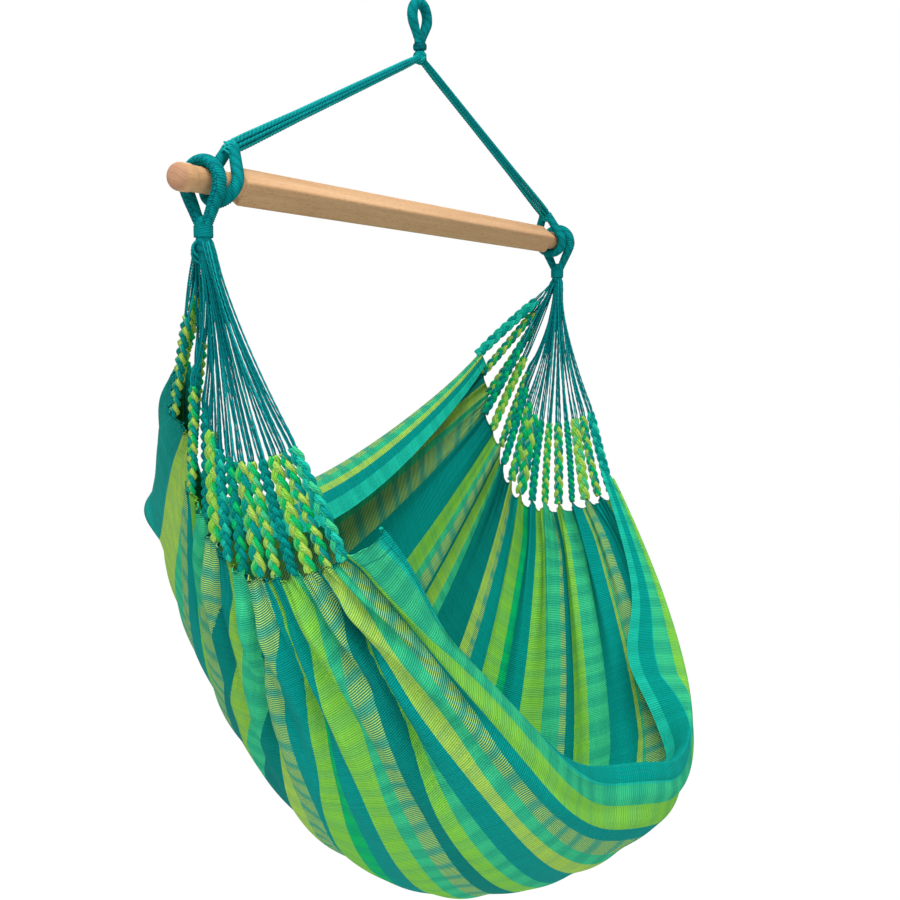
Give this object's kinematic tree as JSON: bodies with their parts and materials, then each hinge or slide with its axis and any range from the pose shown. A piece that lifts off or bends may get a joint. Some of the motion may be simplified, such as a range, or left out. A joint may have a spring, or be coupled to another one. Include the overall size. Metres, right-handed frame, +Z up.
{
  "type": "hammock chair",
  "caption": "Hanging cloth seat on a wooden spreader bar under one rope loop, free to turn on the loop and to swing under the bar.",
  "frame": {"origin": "inside top of the hanging loop, where a hook bears", "axes": "+X along the spreader bar to a sitter's right, +Y towards the seat's back, +Z up"},
  "size_m": [0.9, 0.6864, 1.1479],
  "materials": {
    "cord": "soft twisted cord",
    "cord_dark": "soft wrapped cord",
    "braid": "soft plaited yarn",
    "cloth": "woven, striped",
    "hem": "woven, rolled",
    "wood": "fine sanded"
  },
  "bodies": {
    "loop": {"hanging_loop": "cord"},
    "binding": {"loop_binding": "cord_dark"},
    "knot": {"apex_knot": "cord"},
    "suspension": {"suspension_cord_left_1": "cord", "suspension_cord_left_2": "cord", "suspension_cord_left_3": "cord", "suspension_cord_left_4": "cord", "suspension_cord_right_1": "cord", "suspension_cord_right_2": "cord", "suspension_cord_right_3": "cord", "suspension_cord_right_4": "cord", "suspension_eye_left": "cord_dark", "suspension_eye_right": "cord_dark"},
    "bar": {"spreader_bar": "wood"},
    "seat": {"chair_eye_left": "cord", "eye_whipping_left": "cord_dark", "cord_fan_left": "cord", "chair_eye_right": "cord", "eye_whipping_right": "cord_dark", "cord_fan_right": "cord", "braid_left_01": "braid", "braid_left_02": "braid", "braid_left_03": "braid", "braid_left_04": "braid", "braid_left_05": "braid", "braid_left_06": "braid", "braid_left_07": "braid", "braid_left_08": "braid", "braid_left_09": "braid", "braid_left_10": "braid", "braid_left_11": "braid", "braid_left_12": "braid", "braid_left_13": "braid", "braid_left_14": "braid", "braid_left_15": "braid", "braid_left_16": "braid", "braid_right_01": "braid", "braid_right_02": "braid", "braid_right_03": "braid", "braid_right_04": "braid", "braid_right_05": "braid", "braid_right_06": "braid", "braid_right_07": "braid", "braid_right_08": "braid", "braid_right_09": "braid", "braid_right_10": "braid", "braid_right_11": "braid", "braid_right_12": "braid", "braid_right_13": "braid", "braid_right_14": "braid", "braid_right_15": "braid", "braid_right_16": "braid", "seat_cloth": "cloth", "back_hem": "hem", "front_hem": "hem"}
  },
  "joints": [
    {"name": "turn", "type": "hinge", "parent": "loop", "child": "binding", "pos_m": [0, 0, 0], "axis": [0, 0, 1], "range_deg": [-180, 180]},
    {"name": "sway", "type": "hinge", "parent": "binding", "child": "knot", "pos_m": [0, 0, -0.06045], "axis": [0, 1, 0], "range_deg": [-15, 15]},
    {"name": "swing", "type": "hinge", "parent": "knot", "child": "suspension", "pos_m": [0, 0, -0.06045], "axis": [1, 0, 0], "range_deg": [-20, 20]},
    {"name": "bar_roll", "type": "hinge", "parent": "suspension", "child": "bar", "pos_m": [0, 0, -0.26145], "axis": [1, 0, 0], "continuous": true},
    {"name": "seat_swing", "type": "hinge", "parent": "suspension", "child": "seat", "pos_m": [0, 0, -0.26145], "axis": [1, 0, 0], "range_deg": [-25, 25]}
  ]
}
